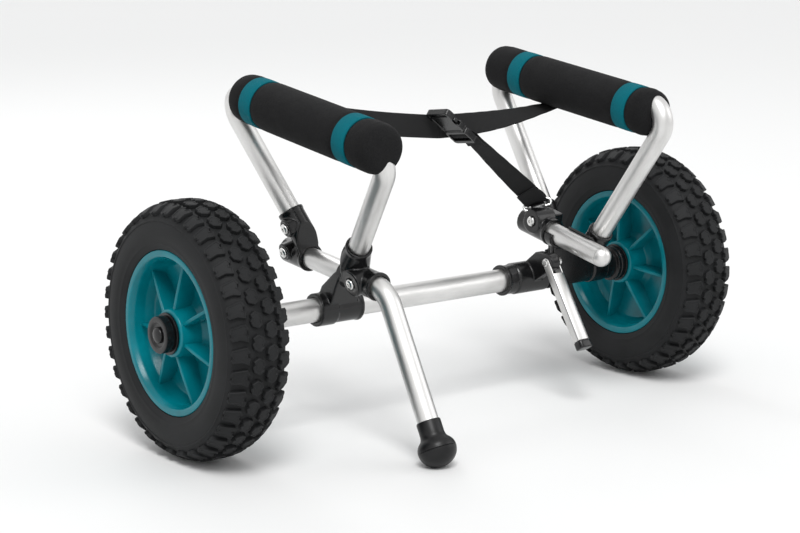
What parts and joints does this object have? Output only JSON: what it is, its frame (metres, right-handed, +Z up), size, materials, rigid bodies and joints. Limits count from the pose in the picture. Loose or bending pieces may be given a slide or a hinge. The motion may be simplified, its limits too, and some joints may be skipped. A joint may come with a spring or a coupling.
{
  "type": "kayak cart",
  "caption": "Kayak cart: axle tube between foam-filled wheels, side frames of bent tube with foam pads, a stand leg, a lever and a tie-down strap.",
  "frame": {"origin": "On the floor, below the middle of the cart", "axes": "+X points to the right wheel along the axle, +Y to the rear, +Z up. The stand leg is at the front."},
  "size_m": [0.6858, 0.3226, 0.3741],
  "materials": {
    "satin_tube": "satin anodised, with fine streaks",
    "black_moulding": "glossy glass-filled nylon",
    "black_plastic": "satin moulded",
    "zinc": "bright zinc",
    "rim_teal": "glossy moulded",
    "tyre": "matte foam rubber",
    "foam": "matte closed-cell foam",
    "woven_teal": "woven",
    "webbing": "woven webbing",
    "foot_rubber": "matte rubber"
  },
  "bodies": {
    "root": {"axle_tube": "satin_tube", "left_axle_insert": "black_plastic", "right_axle_insert": "black_plastic", "left_end_cap": "black_plastic", "right_end_cap": "black_plastic", "left_axle_bolt": "zinc", "right_axle_bolt": "zinc", "left_hub_spacer": "black_plastic", "right_hub_spacer": "black_plastic", "left_axle_bracket": "black_moulding", "right_axle_bracket": "black_moulding", "lever_bracket": "black_moulding", "lever_pivot_bolt": "zinc", "stand_tube": "satin_tube", "foot": "foot_rubber", "right_lower_tube": "satin_tube", "right_tube_plug": "satin_tube", "buckle_body": "black_plastic", "buckle_plug": "black_plastic", "strap_left": "webbing", "strap_right": "webbing", "strap_lower": "webbing"},
    "left_wheel": {"left_tyre": "tyre", "left_rim": "rim_teal", "left_outer_hub_bush": "black_plastic", "left_inner_hub_bush": "black_plastic"},
    "right_wheel": {"right_tyre": "tyre", "right_rim": "rim_teal", "right_outer_hub_bush": "black_plastic", "right_inner_hub_bush": "black_plastic"},
    "left_frame": {"left_frame_tube": "satin_tube", "left_foam_pad": "foam", "left_rear_band": "woven_teal", "left_front_band": "woven_teal", "left_elbow": "black_moulding", "left_elbow_bolt": "zinc", "left_elbow_clamp_bolt": "zinc", "left_leg_socket": "black_moulding", "left_socket_bolt": "zinc"},
    "right_frame": {"right_frame_tube": "satin_tube", "right_foam_pad": "foam", "right_rear_band": "woven_teal", "right_front_band": "woven_teal", "right_rear_joint": "black_moulding", "right_joint_bolt": "zinc", "right_leg_socket": "black_moulding", "strap_ring": "zinc"},
    "lever": {"lever_channel": "satin_tube", "lever_end_cap": "black_plastic"}
  },
  "joints": [
    {"name": "left_wheel_spin", "type": "hinge", "parent": "root", "child": "left_wheel", "pos_m": [-0.298, 0.03155, 0.13], "axis": [1, 0, 0], "continuous": true},
    {"name": "right_wheel_spin", "type": "hinge", "parent": "root", "child": "right_wheel", "pos_m": [0.298, 0.03155, 0.13], "axis": [1, 0, 0], "continuous": true},
    {"name": "left_frame_swivel", "type": "hinge", "parent": "root", "child": "left_frame", "pos_m": [-0.129, 0.02455, 0.1715], "axis": [0, 0.9954, 0.0958], "range_deg": [-3.3, 36.7], "deforming": ["strap_left"]},
    {"name": "right_frame_swivel", "type": "hinge", "parent": "root", "child": "right_frame", "pos_m": [0.1645, 0.02455, 0.1778], "axis": [0, 0.982, 0.1891], "range_deg": [-20, 20], "deforming": ["strap_right", "strap_lower"]},
    {"name": "lever_swing", "type": "hinge", "parent": "root", "child": "lever", "pos_m": [0.136, -0.00645, 0.1515], "axis": [1, 0, 0], "range_deg": [-75, 0]}
  ]
}
